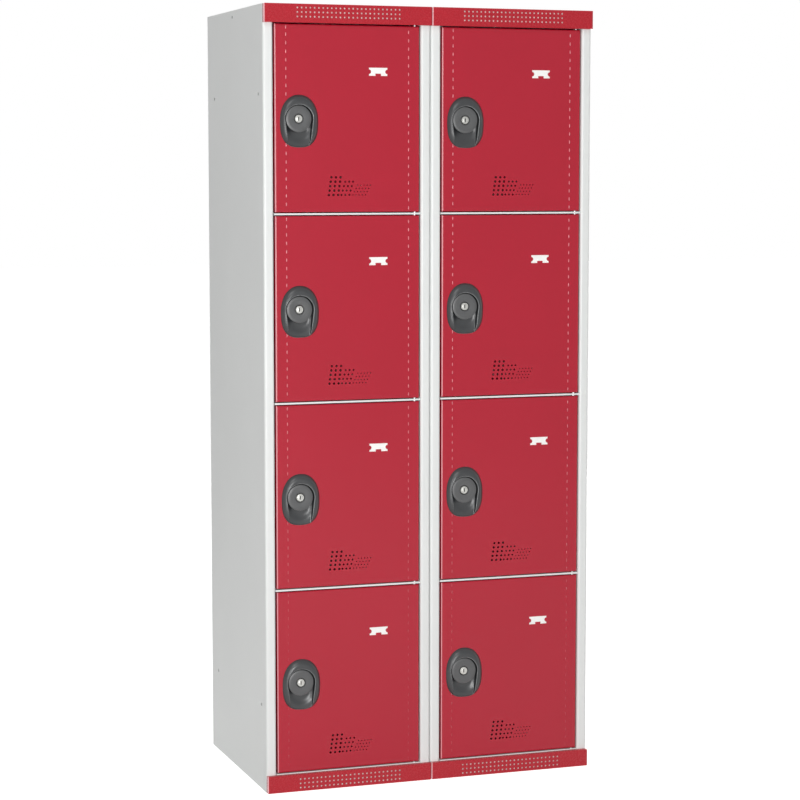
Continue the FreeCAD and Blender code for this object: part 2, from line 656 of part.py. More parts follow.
# Sleeve that carries the lock plate on the floor of the bowl.
def lock_sleeve():
    sleeve = body("lock_sleeve")
    rod_along_y(sleeve, "sleeve_rod", lock_x, lock_z, "sleeve_radius", disc_back, bowl_back)
    bore_along_y(sleeve, "sleeve_bore", lock_x, lock_z, bore_radius, disc_back, bowl_back)
    return sleeve


# Lock cylinder with keyway, spindle and threaded end.
def lock_barrel():
    barrel = body("lock_barrel")
    face = f"{disc_front} + barrel_sunk"
    rod_along_y(barrel, "barrel_plug", lock_x, lock_z, "barrel_radius", face, housing_back)
    rod_along_y(barrel, "barrel_spindle", lock_x, lock_z, "spindle_radius", housing_back, cam_front)
    rod_along_y(barrel, "barrel_stud", lock_x, lock_z, "stud_radius", cam_front, nut_back)
    keyway = sketch(barrel, "keyway", "XZ_Plane", lift=f"-({face})")
    rectangle(keyway, (f"{lock_x} - keyway_width / 2", f"{lock_z} - keyway_height / 2"),
              (f"{lock_x} + keyway_width / 2", f"{lock_z} + keyway_height / 2"))
    pocket(barrel, keyway, "keyway_depth")
    return barrel


# Cam that hangs down when unlocked and turns behind the lip of the stile to lock.
def lock_cam():
    cam = body("lock_cam")
    tip = f"{lock_z} - cam_length + cam_width / 2"
    slab(cam, "cam_blade", (f"{lock_x} - cam_width / 2", cam_front, tip),
         (f"{lock_x} + cam_width / 2", cam_back, lock_z))
    rod_along_y(cam, "cam_eye", lock_x, lock_z, "cam_width / 2", cam_front, cam_back)
    rod_along_y(cam, "cam_tip", lock_x, tip, "cam_width / 2", cam_front, cam_back)
    bore_along_y(cam, "cam_hole", lock_x, lock_z, "stud_radius", cam_front, cam_back)
    return cam


def cam_nut():
    nut = body("cam_nut")
    hexagon_along_y(nut, "cam_nut_block", lock_x, lock_z, "nut_flats", cam_back, nut_back)
    bore_along_y(nut, "cam_nut_hole", lock_x, lock_z, "stud_radius", cam_back, nut_back)
    return nut


# Folded stiffener on the back of the door sheet, between two heights.
def stiffener(name, low, high, mirrored):
    channel = body(name)
    outer = f"{door_left} + stiffener_inset"
    inner = f"{outer} + stiffener_width"
    web = f"{inner} - door_wall"
    if mirrored:
        outer = f"{door_right} - stiffener_inset"
        inner = f"{outer} - stiffener_width"
        web = f"{inner} + door_wall"
    rear = f"{door_inside} + stiffener_depth"
    lip = f"{inner} + stiffener_lip" if mirrored else f"{inner} - stiffener_lip"
    strips = (("face", outer, inner, door_inside, f"{door_inside} + door_wall"),
              ("web", web, inner, door_inside, rear),
              ("lip", lip, inner, f"{rear} - door_wall", rear))
    for part, first, second, front, back in strips:
        left, right = (second, first) if mirrored else (first, second)
        slab(channel, f"{name}_{part}", (left, front, low), (right, back, high))
    return channel


def name_card():
    card = body("name_card")
    left = f"{window_left} - card_margin"
    right = f"{window_left} + window_width + card_margin"
    top = f"{door_top} - window_drop + card_margin"
    bottom = f"{door_top} - window_drop - window_height - card_margin"
    slab(card, "card_sheet", (left, door_inside, bottom), (right, f"{door_inside} + card_wall", top))
    return card


# Joining hardware, drawn on the x axis from the outside of the left column.
def join_bolt():
    bolt = body("join_bolt")
    rod_along_x(bolt, "bolt_shank", "0", "0", "bolt_radius", "-sheet_wall",
                "column_gap + sheet_wall + bolt_nut + bolt_tail")
    hexagon_along_x(bolt, "bolt_block", "bolt_flats", "-sheet_wall - bolt_head", "-sheet_wall")
    return bolt


def join_nut():
    nut = body("join_nut")
    hexagon_along_x(nut, "join_nut_block", "bolt_flats", "column_gap + sheet_wall",
                    "column_gap + sheet_wall + bolt_nut")
    bore_along_x(nut, "join_nut_hole", "0", "0", "bolt_radius", "column_gap + sheet_wall",
                 "column_gap + sheet_wall + bolt_nut")
    return nut


def join_spacer():
    spacer = body("join_spacer")
    rod_along_x(spacer, "spacer_block", "0", "0", "spacer_radius", "0", "column_gap")
    bore_along_x(spacer, "spacer_hole", "0", "0", "bolt_radius + spacer_clearance", "0", "column_gap")
    return spacer


def group(name, members):
    gathered = doc.addObject("Part::Compound", name)
    gathered.Links = members
    return gathered


def placed(label, source, across, back, up, turned=False):
    copy = doc.addObject("App::Link", label)
    copy.LinkedObject = source
    copy.Label = label
    if turned:
        copy.Placement.Rotation = Rotation(Vector(0, 1, 0), 180)
    for axis, text in zip("xyz", (across, back, up)):
        copy.setExpression(f"Placement.Base.{axis}", formula(text))
    return copy


# The whole locker: origin on the floor, in the middle of its width and depth.
middle_y = "-body_depth / 2"
column_left = {"a": "-column_width - column_gap / 2", "b": "column_gap / 2"}
nodes = []

left_side = side_panel()
right_side = doc.addObject("Part::Mirroring", "right_side_panel")
right_side.Source = left_side
right_side.Normal = Vector(1, 0, 0)
right_side.setExpression("Base.x", formula("column_width / 2"))
back = back_panel()
roof = roof_panel()
floor = floor_panel()
tray = shelf()
top_cover = band("top_band", "band_overlap")
base_cover = band("base_band", "0")
shelf_set = group("shelf_set", [placed(f"shelf_{level}", tray, "0", "0", shelf_levels[level])
                                for level in range(1, tiers)])
for column in columns:
    left = column_left[column]
    nodes += [
        placed(f"left_side_panel_{column}", left_side, left, middle_y, "0"),
        placed(f"right_side_panel_{column}", right_side, left, middle_y, "0"),
        placed(f"back_panel_{column}", back, left, middle_y, "0"),
        placed(f"roof_panel_{column}", roof, left, middle_y, "0"),
        placed(f"floor_panel_{column}", floor, left, middle_y, "0"),
        placed(f"shelves_{column}", shelf_set, left, middle_y, "0"),
        placed(f"top_band_{column}", top_cover, left, middle_y, "body_height - band_height"),
        placed(f"base_band_{column}", base_cover, f"{left} + column_width", middle_y, "band_height",
               turned=True),
    ]

reach = f"({lip_half} + pin_reach)"
collar = f"({lip_half} - sheet_wall)"
shelf_pin = hinge_pin("shelf_pin", f"-{reach}", reach, f"-{collar}", collar)
floor_pin = hinge_pin("floor_pin", f"-{lip_half}", reach, f"-{collar}", collar)
roof_pin = hinge_pin("roof_pin", f"-{reach}", f"2 * sheet_wall + 2 * {collar}", "2 * sheet_wall",
                     f"2 * sheet_wall + 2 * {collar}")
pins = []
for column in columns:
    for level, line in enumerate(shelf_levels):
        kind = {0: floor_pin, tiers: roof_pin}.get(level, shelf_pin)
        pins.append(placed(f"pin_{column}{level}", kind, column_left[column], middle_y, line))
nodes.append(group("hinge_pins", pins))

join_places = [(back, up) for back in ("join_front", "join_front + join_spacing")
               for up in ("join_low", "join_low + join_rise")]
for label, piece in (("joining_bolts", join_bolt()), ("joining_nuts", join_nut()),
                     ("joining_spacers", join_spacer())):
    copies = [placed(f"{label}_{number}", piece, "-column_gap / 2", f"{middle_y} + {back_place}", up)
              for number, (back_place, up) in enumerate(join_places)]
    nodes.append(group(label, copies))

pan = door_panel()
door_cuts = group("door_cuts", [card_window(), handle_opening()])
door = doc.addObject("Part::Cut", "door")
door.Base = pan
door.Tool = door_cuts
lock_low = f"({handle_z} - handle_height / 2 - stiffener_margin)"
lock_high = f"({handle_z} + handle_height / 2 + stiffener_margin)"
stiffener_low = f"({door_bottom} + door_wall + stiffener_margin)"
stiffener_high = f"({door_top} - door_wall - stiffener_margin)"
stiffeners = group("stiffeners", [
    stiffener("left_upper_stiffener", lock_high, stiffener_high, False),
    stiffener("left_lower_stiffener", stiffener_low, lock_low, False),
    stiffener("right_stiffener", stiffener_low, stiffener_high, True),
])
handle = group("handle", [handle_housing(), lock_plate(), lock_sleeve()])
lock = group("lock", [lock_barrel(), lock_cam(), cam_nut()])
card = name_card()
for column in columns:
    for tier in range(1, tiers + 1):
        spot = (column_left[column], middle_y, shelf_levels[tiers - tier])
        for name, piece in (("door_panel", door), ("door_stiffeners", stiffeners), ("lock_handle", handle),
                            ("lock_barrel", lock), ("name_card", card)):
            nodes.append(placed(f"{name}_{column}{tier}", piece, *spot))

doc.recompute()
failed = [item.Name for item in doc.Objects if "Invalid" in item.State or "Error" in item.State]
if failed:
    raise RuntimeError(f"objects that did not recompute: {failed}")
os.makedirs("parts", exist_ok=True)
for node in nodes:
    if node.Shape.isNull() or not node.Shape.isValid():
        raise RuntimeError(f"{node.Label} has no valid shape")
for node in nodes:
    node.Shape.exportStep(f"parts/{node.Label}.step")
print(f"{len(nodes)} nodes")
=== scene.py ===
import json
import math

import bmesh
import bpy
from mathutils import Matrix, Vector


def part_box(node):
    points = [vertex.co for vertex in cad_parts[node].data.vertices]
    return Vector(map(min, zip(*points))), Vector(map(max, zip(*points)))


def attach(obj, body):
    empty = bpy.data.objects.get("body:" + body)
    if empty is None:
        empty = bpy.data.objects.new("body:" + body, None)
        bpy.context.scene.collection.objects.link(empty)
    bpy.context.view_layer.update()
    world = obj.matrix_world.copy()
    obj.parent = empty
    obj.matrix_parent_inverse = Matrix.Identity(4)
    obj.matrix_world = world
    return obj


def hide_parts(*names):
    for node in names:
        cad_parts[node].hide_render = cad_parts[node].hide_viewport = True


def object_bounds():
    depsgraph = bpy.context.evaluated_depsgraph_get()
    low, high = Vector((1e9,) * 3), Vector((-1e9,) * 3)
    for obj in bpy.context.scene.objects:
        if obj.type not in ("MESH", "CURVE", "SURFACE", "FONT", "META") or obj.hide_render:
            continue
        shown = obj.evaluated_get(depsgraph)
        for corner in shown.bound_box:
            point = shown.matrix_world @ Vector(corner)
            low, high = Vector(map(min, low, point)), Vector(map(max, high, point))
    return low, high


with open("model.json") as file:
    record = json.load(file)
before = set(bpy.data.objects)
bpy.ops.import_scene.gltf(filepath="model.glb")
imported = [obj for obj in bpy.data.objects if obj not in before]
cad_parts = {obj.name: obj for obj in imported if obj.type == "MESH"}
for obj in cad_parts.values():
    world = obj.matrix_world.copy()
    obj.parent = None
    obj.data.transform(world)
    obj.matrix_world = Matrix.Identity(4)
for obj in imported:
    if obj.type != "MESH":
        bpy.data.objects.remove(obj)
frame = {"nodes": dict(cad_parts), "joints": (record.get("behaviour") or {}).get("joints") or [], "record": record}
cadLow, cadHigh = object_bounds()
nodes = frame["nodes"]
jointSpots = {joint["name"]: Vector(joint["pos_m"]) for joint in frame["joints"]}
doorNames = [column + tier for column in "ab" for tier in "1234"]
mm = 0.001
print("frame loaded:", len(nodes), "nodes,", len(doorNames), "doors")


# Materials

def linear(code):
    parts = [int(code[i:i + 2], 16) / 255 for i in (1, 3, 5)]
    return [p / 12.92 if p <= 0.04045 else ((p + 0.055) / 1.055) ** 2.4 for p in parts] + [1.0]


def addNode(tree, kind, settings=None, links=None):
    node = tree.nodes.new("ShaderNode" + kind)
    for key, value in (settings or {}).items():
        if isinstance(key, str) and hasattr(node, key):
            setattr(node, key, value)
        else:
            node.inputs[key].default_value = value
    for key, socket in (links or {}).items():
        tree.links.new(socket, node.inputs[key])
    return node


def newMaterial(name):
    material = bpy.data.materials.new(name)
    material.use_nodes = True
    tree = material.node_tree
    tree.nodes.clear()
    place = addNode(tree, "TexCoord").outputs["Object"]
    return material, tree, place


def closeMaterial(tree, shader):
    addNode(tree, "OutputMaterial", links={"Surface": shader.outputs[0]})


# How the painted highlight along a fold runs out: mm before the fold, share of its width at full strength, mm
# inward.
foldHighlightFade = {"lead": 1, "solid": 0.45, "runOut": 0.6}


# Painted highlight: the rounded left folds are drawn paler, standing in for the light from the left that catches
# them. The left folds repeat from column to column.
def paintedFoldHighlight(tree, place, fold, colour):
    lead, width = foldHighlightFade["lead"], fold["width"]
    deep = fold["front"] + width
    parts = addNode(tree, "SeparateXYZ", links={0: place})
    along = addNode(tree, "Math", {"operation": "SUBTRACT", 1: (fold["first"] - lead) * mm},
                    {0: parts.outputs["X"]})
    within = addNode(tree, "Math", {"operation": "MODULO", 1: fold["pitch"] * mm}, {0: along.outputs[0]})
    across = addNode(tree, "MapRange", {"From Min": (lead + foldHighlightFade["solid"] * width) * mm,
                                        "From Max": (lead + width) * mm, "To Min": 1.0, "To Max": 0.0},
                     {"Value": within.outputs[0]})
    inward = addNode(tree, "MapRange", {"From Min": deep * mm, "From Max": (deep + foldHighlightFade["runOut"]) * mm,
                                        "To Min": 1.0, "To Max": 0.0}, {"Value": parts.outputs["Y"]})
    both = addNode(tree, "Math", {"operation": "MULTIPLY"}, {0: across.outputs[0], 1: inward.outputs[0]})
    return addNode(tree, "Mix", {"data_type": "RGBA", 7: linear(fold["hex"])},
                   {0: both.outputs[0], 6: colour}).outputs[2]


# Painted highlight: raised marks are drawn paler, more so towards the top, standing in for the glint of the light
# from above.
def paintedSheenUpwards(tree, place, upperSheen, colour):
    parts = addNode(tree, "SeparateXYZ", links={0: place})
    share = addNode(tree, "MapRange", {"From Min": upperSheen["low"] * mm, "From Max": upperSheen["high"] * mm},
                    {"Value": parts.outputs["Z"]})
    return addNode(tree, "Mix", {"data_type": "RGBA", 7: linear(upperSheen["hex"])},
                   {0: share.outputs[0], 6: colour}).outputs[2]


# Polyester powder coat on sheet steel: satin, slightly uneven in tone, with a fine orange peel.
# The real peel is about 1.5 mm and is drawn coarser here so that it shows.
def powderCoat(coat):
    material, tree, place = newMaterial(coat["name"])
    cloud = addNode(tree, "TexNoise", {"Scale": 1 / (coat["cloud"] * mm), "Detail": 3.0}, {"Vector": place})
    tone = addNode(tree, "Mix", {"data_type": "RGBA", 6: linear(coat["dark"]), 7: linear(coat["light"])},
                   {0: cloud.outputs["Fac"]})
    colour = tone.outputs[2]
    if "edge" in coat:
        colour = paintedFoldHighlight(tree, place, coat["edge"], colour)
    if "upperSheen" in coat:
        colour = paintedSheenUpwards(tree, place, coat["upperSheen"], colour)
    peel = addNode(tree, "TexNoise", {"Scale": 1 / (coat["peel"] * mm), "Detail": 2.0}, {"Vector": place})
    gloss = addNode(tree, "MapRange", {"To Min": coat["glossy"], "To Max": coat["dull"]},
                    {"Value": peel.outputs["Fac"]})
    bump = addNode(tree, "Bump", {"Strength": coat["relief"], "Distance": 0.3 * mm},
                   {"Height": peel.outputs["Fac"]})
    shader = addNode(tree, "BsdfPrincipled", {"IOR": 1.46},
                     {"Base Color": colour, "Roughness": gloss.outputs[0], "Normal": bump.outputs[0]})
    closeMaterial(tree, shader)
    return material


greyCoat = powderCoat({"name": "PowderCoatLightGrey", "dark": "#DFE1E0", "light": "#E7E9E8", "cloud": 260,
                       "peel": 3.2, "glossy": 0.27, "dull": 0.37, "relief": 0.10})
redCoat = powderCoat({"name": "PowderCoatRed", "dark": "#A90324", "light": "#AF0729", "cloud": 210,
                      "peel": 3.0, "glossy": 0.19, "dull": 0.28, "relief": 0.12})
# The doors' left folds get a painted highlight in pale pink.
doorCoat = powderCoat({"name": "PowderCoatRedDoorsFoldHighlight", "dark": "#A90324", "light": "#AF0729", "cloud": 210,
                       "peel": 3.0, "glossy": 0.19, "dull": 0.28, "relief": 0.12,
                       "edge": {"first": -372.75, "pitch": 400.5, "front": -240, "width": 2.6,
                                "hex": "#DD929A"}})
# The bands' left ends get a painted highlight in pale pink.
bandCoat = powderCoat({"name": "PowderCoatRedBandsFoldHighlight", "dark": "#AC0A20", "light": "#B20E24", "cloud": 160,
                       "peel": 3.0, "glossy": 0.22, "dull": 0.32, "relief": 0.12,
                       "edge": {"first": -400, "pitch": 400.5, "front": -250, "width": 2.6,
                                "hex": "#EDB9BF"}})
# The pressed marks get a paler red, and more of it higher up: a painted highlight.
markCoat = powderCoat({"name": "PowderCoatRedMarksPaintedHighlight", "dark": "#B01C32", "light": "#B62A3E", "cloud": 40,
                       "peel": 2.0, "glossy": 0.14, "dull": 0.22, "relief": 0.03,
                       "upperSheen": {"low": 380, "high": 1250, "hex": "#D87C87"}})


# Glass-filled polyamide, moulded in a spark-eroded tool: dark grey, dull, with an even fine grain.
def mouldedPolyamide(plastic):
    material, tree, place = newMaterial(plastic["name"])
    grain = addNode(tree, "TexNoise", {"Scale": 1 / (plastic["grain"] * mm), "Detail": 3.0},
                    {"Vector": place})
    cloud = addNode(tree, "TexNoise", {"Scale": 1 / (plastic["cloud"] * mm), "Detail": 2.0},
                    {"Vector": place})
    tone = addNode(tree, "Mix",
                   {"data_type": "RGBA", 6: linear(plastic["dark"]), 7: linear(plastic["light"])},
                   {0: cloud.outputs["Fac"]})
    gloss = addNode(tree, "MapRange", {"To Min": plastic["glossy"], "To Max": plastic["dull"]},
                    {"Value": grain.outputs["Fac"]})
    bump = addNode(tree, "Bump", {"Strength": 0.22, "Distance": 0.12 * mm},
                   {"Height": grain.outputs["Fac"]})
    shader = addNode(tree, "BsdfPrincipled", {"IOR": 1.53},
                     {"Base Color": tone.outputs[2], "Roughness": gloss.outputs[0],
                      "Normal": bump.outputs[0]})
    closeMaterial(tree, shader)
    return material


handlePlastic = mouldedPolyamide({"name": "MouldedPolyamideDarkGrey", "dark": "#292B2D", "light": "#313335",
                                  "cloud": 18, "grain": 0.9, "glossy": 0.24, "dull": 0.36})
# The rounded edge of the handle's bowl is drawn in a lighter grey: a painted highlight.
edgeHighlightPlastic = mouldedPolyamide({"name": "MouldedPolyamidePaintedEdgeHighlight", "dark": "#787A7B", "light": "#888A8B",
                                "cloud": 18, "grain": 0.9, "glossy": 0.20, "dull": 0.30})
discPlastic = mouldedPolyamide({"name": "MouldedPolyamideMidGrey", "dark": "#48494A", "light": "#505152",
                                "cloud": 18, "grain": 0.9, "glossy": 0.30, "dull": 0.44})


# Plated metal: bright, with faint blotches from the bath that show in the gloss only.
def platedMetal(plate):
    material, tree, place = newMaterial(plate["name"])
    bath = addNode(tree, "TexNoise", {"Scale": 1 / (plate["blotch"] * mm), "Detail": 4.0},
                   {"Vector": place})
    tone = addNode(tree, "Mix", {"data_type": "RGBA", 6: linear(plate["dark"]), 7: linear(plate["light"])},
                   {0: bath.outputs["Fac"]})
    gloss = addNode(tree, "MapRange", {"To Min": plate["glossy"], "To Max": plate["dull"]},
                    {"Value": bath.outputs["Fac"]})
    shader = addNode(tree, "BsdfPrincipled", {"Metallic": 1.0},
                     {"Base Color": tone.outputs[2], "Roughness": gloss.outputs[0]})
    closeMaterial(tree, shader)
    return material


nickelPlate = platedMetal({"name": "NickelPlatedBrass", "dark": "#A9A9A5", "light": "#BDBDB9",
                           "blotch": 2.5, "glossy": 0.22, "dull": 0.38})
zincPlate = platedMetal({"name": "ZincPlatedSteel", "dark": "#B4B7B8", "light": "#C6C9C9",
                         "blotch": 5.0, "glossy": 0.26, "dull": 0.45})
keywayMetal = platedMetal({"name": "KeywayInShadow", "dark": "#2A2A28", "light": "#343432",
                           "blotch": 1.5, "glossy": 0.45, "dull": 0.6})


# Card: uncoated white board with a fine fibre.
def cardBoard(card):
    material, tree, place = newMaterial(card["name"])
    fibre = addNode(tree, "TexNoise", {"Scale": 1 / (card["fibre"] * mm), "Detail": 5.0}, {"Vector": place})
    tone = addNode(tree, "Mix", {"data_type": "RGBA", 6: linear(card["dark"]), 7: linear(card["light"])},
                   {0: fibre.outputs["Fac"]})
    bump = addNode(tree, "Bump", {"Strength": 0.1, "Distance": 0.05 * mm}, {"Height": fibre.outputs["Fac"]})
    shader = addNode(tree, "BsdfPrincipled", {"Roughness": 0.85},
                     {"Base Color": tone.outputs[2], "Normal": bump.outputs[0]})
    closeMaterial(tree, shader)
    return material


whiteCard = cardBoard({"name": "WhiteCardBoard", "dark": "#F4F4F1", "light": "#FCFCFA", "fibre": 0.6})
print("materials:", len(bpy.data.materials))


# CAD nodes that keep their own shape get these finishes.
finishes = {"red_paint": redCoat, "grey_paint": greyCoat, "handle_plastic": handlePlastic,
            "lock_metal": nickelPlate, "zinc_steel": zincPlate, "card": whiteCard}
for part in frame["record"]["subparts"]:
    mesh = nodes[part["node"]].data
    mesh.materials.clear()
    finish = finishes[part["material_slot"]]
    if part["node"].startswith("door_panel"):
        finish = doorCoat
    elif "_band_" in part["node"]:
        finish = bandCoat
    mesh.materials.append(finish)


# Pieces

def addPiece(name, bm, body, materials, sharp=35, replaced=()):
    bmesh.ops.recalc_face_normals(bm, faces=bm.faces)
    mesh = bpy.data.meshes.new(name)
    bm.to_mesh(mesh)
    bm.free()
    mesh.polygons.foreach_set("use_smooth", [True] * len(mesh.polygons))
    mesh.set_sharp_from_angle(angle=math.radians(sharp))
    for material in materials:
        mesh.materials.append(material)
    piece = bpy.data.objects.new(name, mesh)
    bpy.context.scene.collection.objects.link(piece)
    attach(piece, body)
    if replaced:
        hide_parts(*replaced)
    return piece


# The next loop of a tube of loops: extruded from the last one and put where spot says.
def nextLoop(bm, loop, spot, finish=0):
    edges = [loop[i].link_edges for i in range(len(loop))]
    ring = [next(e for e in edges[i] if e.other_vert(loop[i]) == loop[(i + 1) % len(loop)])
            for i in range(len(loop))]
    made = bmesh.ops.extrude_edge_only(bm, edges=ring)
    fresh = {v for v in made["geom"] if isinstance(v, bmesh.types.BMVert)}
    for face in made["geom"]:
        if isinstance(face, bmesh.types.BMFace):
            face.material_index = finish
    after = []
    for vert in loop:
        after.append(next(e.other_vert(vert) for e in vert.link_edges if e.other_vert(vert) in fresh))
    for i, vert in enumerate(after):
        vert.co = spot(i)
    return after


def firstLoop(bm, count, spot):
    loop = bmesh.ops.create_circle(bm, segments=count, radius=1.0)["verts"]
    for i, vert in enumerate(loop):
        vert.co = spot(i)
    return loop


# Moulded handle, drawn round the lock axis: across u, up w, and depth d in front of the door sheet.
handle = {
    "sides": 192,
    "ovalAcross": 3.0, "ovalUp": -5.0, "ovalHalfWidth": 45.0, "ovalHalfHeight": 59.0,
    "upperPower": 2.15, "lowerPower": 2.7,
    "crown": 10.0, "flankWidth": 13.0,
    "bowl": 33.0, "bowlAcross": 1.0, "bowlUp": -1.0, "channelEnd": 25.5, "channelRun": 59.0,
    "lip": 0.7, "edge": 1.1,
    "floor": -4.0, "cutAcross": 3.0, "cutUp": -22.0, "cutStart": 19.0, "cutReach": 34.3,
    "cutDepth": 0.35, "lipRun": 8.0, "lipDepth": 1.0,
    "skirtHalfWidth": 38.0, "skirtHalfHeight": 52.0, "skirtPower": 2.1, "skirtChamfer": 0.8,
    "back": -7.0, "bore": 10.2, "seat": 0.02, "rimRound": 0.35, "rimStep": 0.3,
    "domePower": 0.8, "domeLeast": 0.4, "domeShares": (0.05, 0.13, 0.24, 0.37, 0.52, 0.68, 0.84, 1.0),
    "edgeSteps": ((0.55, 0.12), (0.2, 0.42), (0.0, 1.0)), "edgeReach": 1.0, "edgeLeast": 0.05,
    "footIn": 1.0, "wallIn": 0.5, "wallRise": 1.2, "wallLeast": 0.1, "filletIn": 0.9, "filletRise": 0.3,
    "floorIn": 1.9, "floorShares": (0.03, 0.07, 0.11, 0.16, 0.22, 0.3, 0.4, 0.52, 0.67, 0.83, 1.0),
    "cornerSpans": ((1.25, 1.5), (1.75, 1.5)), "farthest": 120.0, "halvings": 40,
}


def inOval(h, u, w):
    across = abs((u - h["ovalAcross"]) / h["ovalHalfWidth"])
    up = (w - h["ovalUp"]) / h["ovalHalfHeight"]
    power = h["upperPower"] if up > 0 else h["lowerPower"]
    return across ** power + abs(up) ** power < 1


# The skirt goes through the cut-out of the door sheet.
def inSkirt(h, u, w):
    across = abs((u - h["ovalAcross"]) / h["skirtHalfWidth"])
    up = abs((w - h["ovalUp"]) / h["skirtHalfHeight"])
    return across ** h["skirtPower"] + up ** h["skirtPower"] < 1


def inChannel(h, u, w):
    across = abs(u - h["bowlAcross"])
    up = w - h["bowlUp"]
    if up >= 0:
        return math.hypot(across, up) < h["bowl"]
    return across < h["bowl"] + up * (h["bowl"] - h["channelEnd"]) / h["channelRun"]


# How far a ray from the lock axis runs inside an outline.
def rayTo(outline, h, turn):
    low, high = 0.0, h["farthest"]
    for _ in range(h["halvings"]):
        reach = (low + high) / 2
        if outline(h, reach * math.cos(turn), reach * math.sin(turn)):
            low = reach
        else:
            high = reach
    return low


def buildHandle(h):
    bm = bmesh.new()
    turns = [2 * math.pi * i / h["sides"] for i in range(h["sides"])]
    # two rays go exactly through the corners where the channel runs out of the oval
    corners = []
    for start, end in h["cornerSpans"]:
        low, high = start * math.pi, end * math.pi
        for _ in range(h["halvings"]):
            middle = (low + high) / 2
            if rayTo(inChannel, h, middle) < rayTo(inOval, h, middle) - h["lip"]:
                low = middle
            else:
                high = middle
        corners.append(low)
    for corner in corners:
        nearest = min(range(h["sides"]), key=lambda i: abs(turns[i] - corner))
        turns[nearest] = corner
    oval = [rayTo(inOval, h, turn) for turn in turns]
    skirt = [rayTo(inSkirt, h, turn) for turn in turns]
    channel = [min(rayTo(inChannel, h, turn), oval[i] - h["lip"]) for i, turn in enumerate(turns)]

    def put(i, reach, depth):
        return Vector((reach * math.cos(turns[i]), -depth, reach * math.sin(turns[i]))) * mm

    def dome(i, reach):
        inset = min(max(oval[i] - reach, 0.0) / h["flankWidth"], 1.0)
        return max(h["crown"] * math.sin(inset * math.pi / 2) ** h["domePower"], h["domeLeast"])

    # a spoon-shaped scoop, in front of the door sheet wherever there is sheet behind it
    def floorAt(i, reach):
        below = min(reach * math.sin(turns[i]) - h["cutUp"], 0.0)
        out = math.hypot(reach * math.cos(turns[i]) - h["cutAcross"], below)
        near = min(max((out - h["cutStart"]) / (h["cutReach"] - h["cutStart"]), 0.0), 1.0)
        rise = (h["cutDepth"] - h["floor"]) * near * near * (3 - 2 * near)
        lip = min(max((out - h["cutReach"]) / h["lipRun"], 0.0), 1.0)
        return h["floor"] + rise + (h["lipDepth"] - h["cutDepth"]) * lip

    first = firstLoop(bm, h["sides"], lambda i: put(i, h["bore"], h["back"]))
    loop = nextLoop(bm, first, lambda i: put(i, skirt[i] - h["skirtChamfer"], h["back"]))
    loop = nextLoop(bm, loop, lambda i: put(i, skirt[i], h["back"] + h["skirtChamfer"]))
    loop = nextLoop(bm, loop, lambda i: put(i, skirt[i], h["seat"]))
    loop = nextLoop(bm, loop, lambda i: put(i, oval[i] - h["rimRound"], h["seat"]))
    loop = nextLoop(bm, loop, lambda i: put(i, oval[i], h["rimRound"]))
    # over the dome to the edge of the channel
    for share in h["domeShares"]:
        reach = [oval[i] + share * (channel[i] + h["edge"] - oval[i]) if channel[i] + h["edge"] < oval[i]
                 else oval[i] - share * h["rimStep"] for i in range(h["sides"])]
        loop = nextLoop(bm, loop, lambda i: put(i, reach[i], dome(i, reach[i])))
    edgeTop = [dome(i, channel[i] + h["edge"]) for i in range(h["sides"])]
    wallFoot = [floorAt(i, channel[i] - h["footIn"]) for i in range(h["sides"])]
    # round the edge, which is drawn in a lighter grey as a painted highlight
    for inset, sink in h["edgeSteps"]:
        reach = [channel[i] + inset * min(h["edgeReach"], (oval[i] - channel[i]) / 2)
                 for i in range(h["sides"])]
        depth = [max(edgeTop[i] - sink, wallFoot[i] + h["edgeLeast"]) for i in range(h["sides"])]
        loop = nextLoop(bm, loop, lambda i: put(i, reach[i], depth[i]), 1)
    # down the wall and over the floor to the bore
    wallTop = [min(wallFoot[i] + h["wallRise"], edgeTop[i] - h["wallLeast"]) for i in range(h["sides"])]
    loop = nextLoop(bm, loop, lambda i: put(i, channel[i] - h["wallIn"], wallTop[i]))
    loop = nextLoop(bm, loop, lambda i: put(i, channel[i] - h["filletIn"], wallFoot[i] + h["filletRise"]))
    inner = [channel[i] - h["floorIn"] for i in range(h["sides"])]
    loop = nextLoop(bm, loop, lambda i: put(i, inner[i], floorAt(i, inner[i])))
    for share in h["floorShares"]:
        reach = [inner[i] + share * (h["bore"] - channel[i] + h["floorIn"]) for i in range(h["sides"])]
        loop = nextLoop(bm, loop, lambda i: put(i, reach[i], floorAt(i, reach[i])))
    bmesh.ops.bridge_loops(bm, edges=[e for e in bm.edges if e.is_boundary])
    return bm


# Round plate on its sleeve, turned on a lathe: reach from the lock axis and depth in front of the sheet.
plate = {
    "sides": 96,
    "profile": ((10.4, -4.0), (17.0, -4.0), (17.0, 2.0), (29.2, 2.0), (29.8, 2.25), (30.0, 2.8),
                (30.0, 6.9), (29.75, 7.5), (29.1, 7.85), (23.2, 8.0), (22.9, 7.8), (22.3, 7.8),
                (22.0, 8.0), (13.2, 8.0), (12.3, 7.9), (11.8, 7.5), (11.6, 7.0), (11.6, 6.1), (10.4, 6.1)),
    "face": 8.0, "indexAcross": 1.3, "indexUp": 4.6, "indexOut": 17.5, "indexProud": 0.45,
    "indexBevel": 0.3,
}


def lathe(bm, profile, sides):
    points = [bm.verts.new(Vector((reach, -depth, 0)) * mm) for reach, depth in profile]
    edges = [bm.edges.new(pair) for pair in zip(points, points[1:] + points[:1])]
    bmesh.ops.spin(bm, geom=points + edges, cent=(0, 0, 0), axis=(0, 1, 0), angle=2 * math.pi,
                   steps=sides, use_merge=True)


